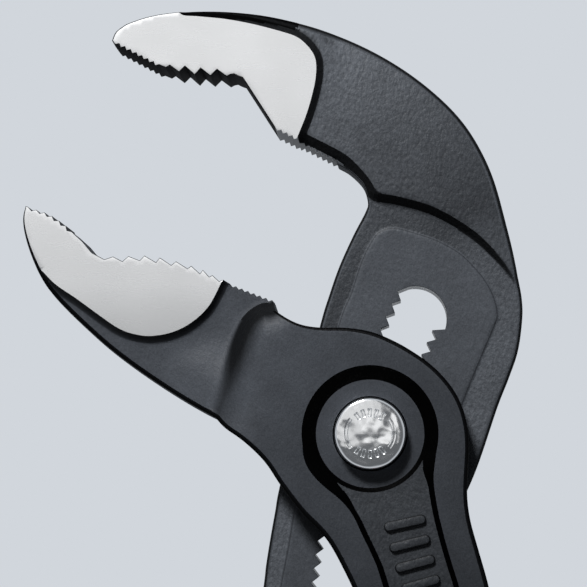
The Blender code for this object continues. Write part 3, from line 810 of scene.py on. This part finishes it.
def lower_finish(points):
    return np.where(signed(points, lower_polish_loop) < 0, GROUND, BASE)


def lower_features():
    """Lines along which the faces of the lower lever bend."""
    return (shifted(curve(lower_polish, 0.25), (0.0, -0.40, -0.80, -0.97))
            + shifted(crease, (-1.5, -1.1, -0.7, -0.3, 0.0, 0.3, 0.6, 0.9, 1.2, 1.9, 2.7, 3.6, 4.8, 6.0)))


def lower_outline():
    line = Outline()
    line.add([(-43.96, 29.06)], 0.1)
    line.add(toothed([(-43.60, 28.90), (-42.58, 28.56), (-41.10, 28.05), (-39.87, 27.28),
                      (-38.89, 26.59), (-38.02, 25.73)], 6, -0.33), 0.06)
    line.add(straight([(-38.02, 25.73), (-36.66, 24.51), (-35.43, 23.04)], 0.5), 0.08)
    line.add([(-33.83, 22.18), (-32.73, 22.55), (-31.52, 21.93), (-30.78, 22.60),
              (-29.31, 22.04), (-28.71, 22.66), (-27.24, 21.80), (-26.76, 22.41),
              (-25.29, 21.44), (-24.68, 21.92), (-23.21, 21.0), (-22.73, 21.35),
              (-21.63, 20.35), (-21.26, 20.82), (-20.45, 19.95), (-20.03, 20.14),
              (-19.15, 19.35), (-18.70, 19.59)], 0.08)
    line.add(toothed([(-17.84, 19.10), (-12.48, 17.02)], 7, -0.33), 0.06)
    line.add(straight([(-12.30, 16.9), (-11.91, 15.66)], 0.3), 0.35, 0.05)
    top = relaxed(curve(cheek_top, 0.3), 12)
    over_plate = (top[:, 0] > 1.0) & (top[:, 1] > -6.0)
    first, last = np.flatnonzero(over_plate)[[0, -1]]
    # Painted shade: the rounded edges from here round the handle take the edge steel, near black towards the
    # joint
    line.add(top[:first], (0.28, 0.5), 0.06, edge=RIM)
    line.add(top[first:last], 0.5, 0.06, edge=RIM)
    line.add(top[last:], (0.5, 0.6), (0.06, 0.1), edge=RIM)
    right, left = sides(lower_bar)
    line.add(right[2:], (0.7, 2.1), 0.1, edge=RIM)
    line.add(arc_turn(right[-1], left[-1]), 1.9, 0.1, edge=RIM)
    line.add(left[::-1][:-2], (2.1, 0.7), 0.1, edge=RIM)
    line.add(relaxed(curve(cheek_left, 0.3), 12), (0.65, 0.55), 0.12, edge=RIM)
    under = relaxed(curve(belly, 0.3), 30)
    low = under[:, 1] < 19.5
    line.add(under[low], 0.55, 0.2, edge=RIM)
    line.add(under[~low][:-1], (0.5, 0.12), (0.2, 0.05), edge=RIM)
    return line.done()


# What is cut out of the lower lever
cavity = share((-0.163, 0.407), (-0.167, 0.257), (-0.194, 0.128), (-0.203, 0.089), (-0.215, 0.067),
               (-0.304, -0.006), (-0.481, -0.148), (-0.481, -0.852), (0.000, -0.852),
               (0.104, -0.774), (0.144, -0.598), (0.188, -0.444), (0.221, -0.296),
               (0.239, -0.180), (0.444, -0.180), (0.444, 0.407))
recess_profile = [(0, 18), (8.6, 18), (8.6, 16.04), (8.5, 15.93), (6.92, 14.68), (6.8, 14.6),
                  (4.72, 14.6), (4.66, 14.5), (4.66, 12.1), (2.6, 12.1), (2.6, 8), (0, 8)]
bore_profile = [(0, 8), (5.0, 8), (5.0, 1.5), (6.75, 1.5), (6.8, 1.45), (6.8, 0.12), (6.95, -0.04),
                (6.95, -2), (0, -2)]
wall_left = curve([(-8.2, -0.6), (-8.28, -2.0), (-8.02, -3.4), (-7.3, -4.8), (-5.9, -6.35),
                   (-3.56, -8.35), (-2.13, -10.16), (-0.92, -12.64), (0.55, -15.74), (1.45, -18.3),
                   (4.9, -30.0), (8.4, -41.0), (12.0, -52.6), (14.6, -57.6), (15.9, -59.0)], 0.5)
wall_right = curve([(8.2, 0.4), (8.3, -1.4), (8.05, -3.2), (7.87, -5.72), (8.35, -9.25),
                    (9.17, -12.78), (10.1, -16.07), (11.03, -19.06), (13.6, -28.0), (16.2, -39.2),
                    (18.5, -51.0), (18.6, -56.6), (17.6, -58.8)], 0.5)


def recess_cutter():
    """The round hollow for the button, with painted black shade on its sloping side."""
    made = solid("recess", [turned(recess_profile)], lower_materials)
    for face in made.data.polygons:
        if 0.5 < abs(face.normal.z) < 0.9:
            face.material_index = DARK
    return made


def web_cutter():
    """The hollow of the handle's web, from its left wall to its right, shallower at its foot."""
    rings = []
    for a, b in zip(spread(wall_left, 150), spread(wall_right, 150)):
        across = (b - a) / np.linalg.norm(b - a)
        beside_recess = a[1] > -9
        tops = (front_face, front_face) if beside_recess else middle + lower_height(np.array([a, b]))
        depth = 0.97 if a[1] > -40 else 0.97 - 0.45 * smooth_step((-40 - a[1]) / 18)
        profile = [(-0.1, 1.6), (-0.1, 0.03), (0.0, -0.08), (0.86, -depth * 0.90),
                   (0.93, -depth * 0.98), (1.0, -depth)]
        left_slope = 0.72 + 1.4 * smooth_step((a[1] + 10.0) / 4.5)
        right_slope = 0.66 + 0.9 * smooth_step((b[1] + 7.0) / 4.0)
        ring = [(*(a + across * off * left_slope), tops[0] + h) for off, h in profile]
        ring += [(*(b - across * off * right_slope), tops[1] + h) for off, h in reversed(profile)]
        rings.append(ring)
    made = solid("web", [rings], lower_materials)
    for face in made.data.polygons:
        # Painted shade: the web's sloping walls take near-black steel, its floor the rougher forged steel
        face.material_index = ROUGH if abs(face.normal.z) > 0.98 else DARK
    return made


def cavity_cutter():
    """The space between the cheeks, for the plate of the other lever."""
    rings = [[(x, y, z) for x, y in cavity] for z in (4.95, 11.05)]
    return solid("cavity", [rings], lower_materials)


def lower_lever():
    made = forging("lower_forging", [lower_outline()], lower_height, lower_features(), lower_finish,
                   lower_materials)
    cut(made, recess_cutter())
    cut(made, web_cutter())
    cut(made, solid("bolt_bore", [turned(bore_profile)], lower_materials), cavity_cutter())
    return made


def rib(at, ahead, half, top):
    """The skin of one raised bar with round ends, across the way ahead."""
    across = np.array((-ahead[1], ahead[0]))
    end = 0.5  # radius of its round ends
    rings = []
    for grow, height in ((0.16, top - 1.0), (0.16, top - 0.5), (0.04, top - 0.06), (-0.06, top)):
        ring = []
        for a in np.linspace(0, 2 * math.pi, 24, endpoint=False):
            u = math.copysign(max(half - end, 0.1), math.cos(a)) + (end + grow) * math.cos(a)
            v = (end + grow) * math.sin(a)
            ring.append((*(at + across * u + ahead * v), height))
        rings.append(ring)
    return rings


def web_ribs():
    """Plain raised bars across the recessed web of the handle."""
    line = curve([(4.0, -9.6), (4.9, -13.5), (6.1, -18.0), (7.9, -24.0), (9.4, -29.0),
                  (12.3, -40.0), (15.0, -51.0)], 0.1)
    first, pitch = 1.6, 2.6  # along the line
    skins = []
    for k in range(15):
        at = points_at(line, first + pitch * k)
        ahead = points_at(line, first + pitch * k + 0.5) - at
        ahead /= np.linalg.norm(ahead)
        top = middle + lower_height(at[None])[0] - 0.45
        skins.append(rib(at, ahead, 2.55 - 0.055 * k, top))
    return solid("web_ribs", skins, [web_forged])


# Push button
def engraving(x, y):
    """How deep the button is engraved at a point, from 0 to 1: two arcs, and two fans of short bars."""
    radius = math.hypot(x, y)
    from_top = math.degrees(math.atan2(y, x)) % 180 - 90
    deep = 0.0
    if abs(from_top) > 53:
        deep = 1 - abs(radius - 2.95) / 0.2
    elif abs(from_top) < 45:
        off = (from_top + 9) % 18 - 9
        deep = min(1 - abs(math.radians(off)) * radius / 0.22, (0.5 - abs(radius - 2.6)) / 0.08)
    return min(max(deep * 1.8, 0), 1)


def push_button():
    """The button, with its crowned and engraved face, its skirt and its hollow underside."""
    face = [(r, button_crown - 0.012 * r * r) for r in np.linspace(0.06, 3.55, 52)]
    skirt = [(3.75, 16.805), (3.92, 16.785), (4.08, 16.76), (4.20, 16.72), (4.31, 16.65), (4.40, 16.55),
             (4.46, 16.43), (4.49, 16.30), (4.5, 16.1), (4.5, 15.2), (4.5, 14.14), (4.46, 14.1),
             (3.65, 14.1), (3.65, 16.0), (0.06, 16.0)]
    rings = [[(x, y, z - 0.25 * engraving(x, y)) for x, y, z in circle(*row, 360)] for row in face]
    rings += [circle(*row, 360) for row in skirt]
    return solid("button", [rings], [chrome], 40)


# Grips
grip_girth = np.array([(0.0, 9.05, 5.9), (0.02, 9.45, 6.25), (0.05, 9.75, 6.4), (0.10, 9.85, 6.45),
                       (0.30, 9.95, 6.7), (0.55, 9.8, 6.72), (0.78, 9.8, 6.8), (0.90, 10.35, 7.2),
                       (0.97, 10.7, 7.35), (1.0, 10.75, 7.35)])  # share of its length, half width and height


def grip(name, stations):
    """A dipped sleeve round a handle, from its soft mouth to its closed round end."""
    rows = curve([(*station, half) for station, half in zip(stations, handle_halves)], 1.5)
    total = way_along(rows)[-1]
    sideways = left_of(rows[:, :2])

    def girth(s):
        return [float(np.interp(s / total, grip_girth[:, 0], grip_girth[:, k])) for k in (1, 2)]

    def ring(s, half_width, half_height, power, past=0.0):
        """Points round the handle at a distance down it, between an ellipse and a box in shape."""
        x, y = points_at(rows, s)[:2]
        side = np.array([np.interp(s, way_along(rows), sideways[:, k]) for k in range(2)])
        side /= np.linalg.norm(side)
        out = []
        for a in np.linspace(0, 2 * math.pi, 72, endpoint=False):
            c, q = math.cos(a), math.sin(a)
            u = math.copysign(abs(c) ** (2 / power), c) * half_width
            v = math.copysign(abs(q) ** (2 / power), q) * half_height
            out.append((x + side[0] * u + side[1] * past, y + side[1] * u - side[0] * past, middle + v))
        return out

    rings = []
    for depth in (26.0, 12.0, 4.0, 1.2):
        w, h = points_at(rows, depth)[2:]
        rings.append(ring(depth, w + 0.3, h + 0.3, 3.4))
    w, h = points_at(rows, 0.25)[2:]
    rings.append(ring(0.25, w + 0.42, h + 0.42, 3.3))
    wide, high = girth(0)
    for a in np.radians((0, 30, 60, 90)):
        f = math.sin(a)
        rings.append(ring((1 - math.cos(a)) * 1.1, w + 0.5 + f * (wide - w - 0.5),
                          h + 0.5 + f * (high - h - 0.5), 3.0))
    for s in np.arange(2.0, total, 1.5):
        rings.append(ring(s, *girth(s), 2.9))
    wide, high = girth(total)
    for past in (0.5, 1.8, 3.2, 4.5, 5.6, 6.3, 6.75):
        f = 0.35 + 0.65 * math.sqrt(max(1 - (past / grip_end) ** 2.4, 0))
        rings.append(ring(total, wide * f, high * f, 2.7, past))
    rings.append(ring(total, wide * 0.22, high * 0.22, 2.6, grip_end))
    return solid(name, [rings], [plastic], sharp=0)


# The pieces, the bodies they ride on and the nodes they stand for
def dress(piece, body, slot, *nodes):
    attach(piece, body)
    if nodes:
        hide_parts(*nodes)


upper = forging("upper_forging", [upper_outline(), slot_outline()], upper_height, upper_features(),
                upper_finish, upper_materials)
dress(upper, "upper_arm", "forged_steel", "upper_lever")
dress(lower_lever(), "lower_arm", "forged_steel", "lower_lever")
dress(grip("lower_sleeve", lower_bar[3:]), "lower_arm", "red_plastic", "lower_grip")
dress(grip("upper_sleeve", upper_bar[3:]), "upper_arm", "red_plastic", "upper_grip")
dress(push_button(), "bolt", "chrome", "push_button")
dress(web_ribs(), "lower_arm", "forged_steel")
for node, made in (("joint_bolt", bolt_steel), ("spring_washer", bolt_steel),
                   ("button_spring", spring_wire)):
    for slot in bpy.data.objects[node].material_slots:
        slot.material = made
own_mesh(bpy.data.objects["button_spring"])


# Stage: floor, backdrop, light and camera
def paper(name, strength):
    """Pale paper that glows evenly, so that no shadow falls on it."""
    made, tree, shader = new_material(name)
    tree.nodes.remove(shader)
    glow = add_node(tree, "Emission", {"Color": (0.638, 0.672, 0.716, 1), "Strength": strength})
    wire(tree, tree.nodes["Material Output"], {"Surface": glow.outputs["Emission"]})
    return made


def hide_from(made, *kinds):
    """Leaves an object out for some kinds of ray."""
    for kind in kinds:
        setattr(made, f"visible_{kind}", False)


def staged(name, mesh, material, *hidden_from):
    mesh.materials.append(material)
    made = placed(name, mesh)
    hide_from(made, *hidden_from)
    return made


def floor_mesh(half_width=2.5, height=-0.0002):
    mesh = bpy.data.meshes.new("floor")
    corners = [(x * half_width, y * half_width, height) for x, y in ((-1, -1), (1, -1), (1, 1), (-1, 1))]
    mesh.from_pydata(corners, [], [(0, 1, 2, 3)])
    return mesh


def dome_mesh(radius=2.4):
    mesh = bpy.data.meshes.new("dome")
    shape = bmesh.new()
    bmesh.ops.create_icosphere(shape, subdivisions=4, radius=radius)
    shape.to_mesh(mesh)
    shape.free()
    return mesh


def softbox(name, place, target, size, power, *hidden_from):
    data = bpy.data.lights.new(name, "AREA")
    data.shape = "RECTANGLE"
    data.size, data.size_y = size
    data.energy = power
    lamp = placed(name, data)
    lamp.location = place
    lamp.rotation_euler = (Vector(target) - Vector(place)).to_track_quat("-Z", "Y").to_euler()
    hide_from(lamp, *hidden_from)


def photo_camera():
    """The photograph's camera, from the pixels of the bolt and of the point straight below it."""
    picture = 587  # pixels on each side
    focal = 2648  # pixels
    below = (395.0, 485.0)
    bolt = (370.0, 433.5)
    pixels_per_mm = 8.0  # at the bolt, on the front face

    def ray(x, y):
        return Vector((x - picture / 2, picture / 2 - y, -focal))

    turn = ray(*below).rotation_difference(Vector((0, 0, -1))).to_matrix()
    place = Vector((0, 0, front_face)) - turn @ ray(*bolt) / pixels_per_mm
    data = bpy.data.cameras.new("camera")
    data.sensor_width = 36
    data.lens = focal / picture * data.sensor_width
    data.clip_start = 0.01
    made = placed("camera", data)
    made.matrix_world = Matrix.Translation(place * MM) @ turn.to_4x4()
    return made


# The eye sees the plain floor and backdrop, and steel mirrors a darker floor and a dome that fades
white_paper = paper("floor_paper", 1.0)
staged("floor", floor_mesh(), white_paper, "glossy")
bounce = staged("floor_bounce", floor_mesh(), paper("bounce_paper", 0.3), "camera", "diffuse")
bounce.location.z = -0.0002
staged("backdrop", dome_mesh(), white_paper, "glossy", "diffuse", "shadow", "transmission")
dome_paper = paper("dome_paper", 1.0)
dome_tree = dome_paper.node_tree
across_dome = add_node(dome_tree, "TexCoord", {}).outputs["Generated"]
dome_height = add_node(dome_tree, "SeparateXYZ", {"Vector": across_dome}).outputs["Z"]
wire(dome_tree, dome_tree.nodes["Emission"],
     {"Strength": ramp(dome_tree, dome_height, [(0.0, 0.75), (0.8, 0.75), (0.94, 0.18)])})
staged("mirrored_studio", dome_mesh(), dome_paper, "camera", "diffuse", "shadow", "transmission")

world = bpy.data.worlds.new("studio")
world.use_nodes = True
wire(world.node_tree, world.node_tree.nodes["Background"],
     {"Color": (0.5, 0.53, 0.56, 1), "Strength": 0.025})
bpy.context.scene.world = world

softbox("overhead", (-0.345, 0.425, 0.95), (-0.345, 0.425, 0), (0.9, 0.84), 1.4, "diffuse")
softbox("key", (-0.28, 0.69, 0.67), (0, 0, 0), (0.2, 0.2), 12.0)
softbox("fill", (0.05, -0.38, 0.95), (0.05, -0.38, 0), (1.0, 0.72), 0.2, "glossy")
softbox("glint", (0.01, 0.085, 0.9), (0.01, 0.085, 0), (0.14, 0.12), 0.0158, "diffuse")
bpy.context.scene.camera = photo_camera()
bpy.context.scene.view_settings.view_transform = "Standard"
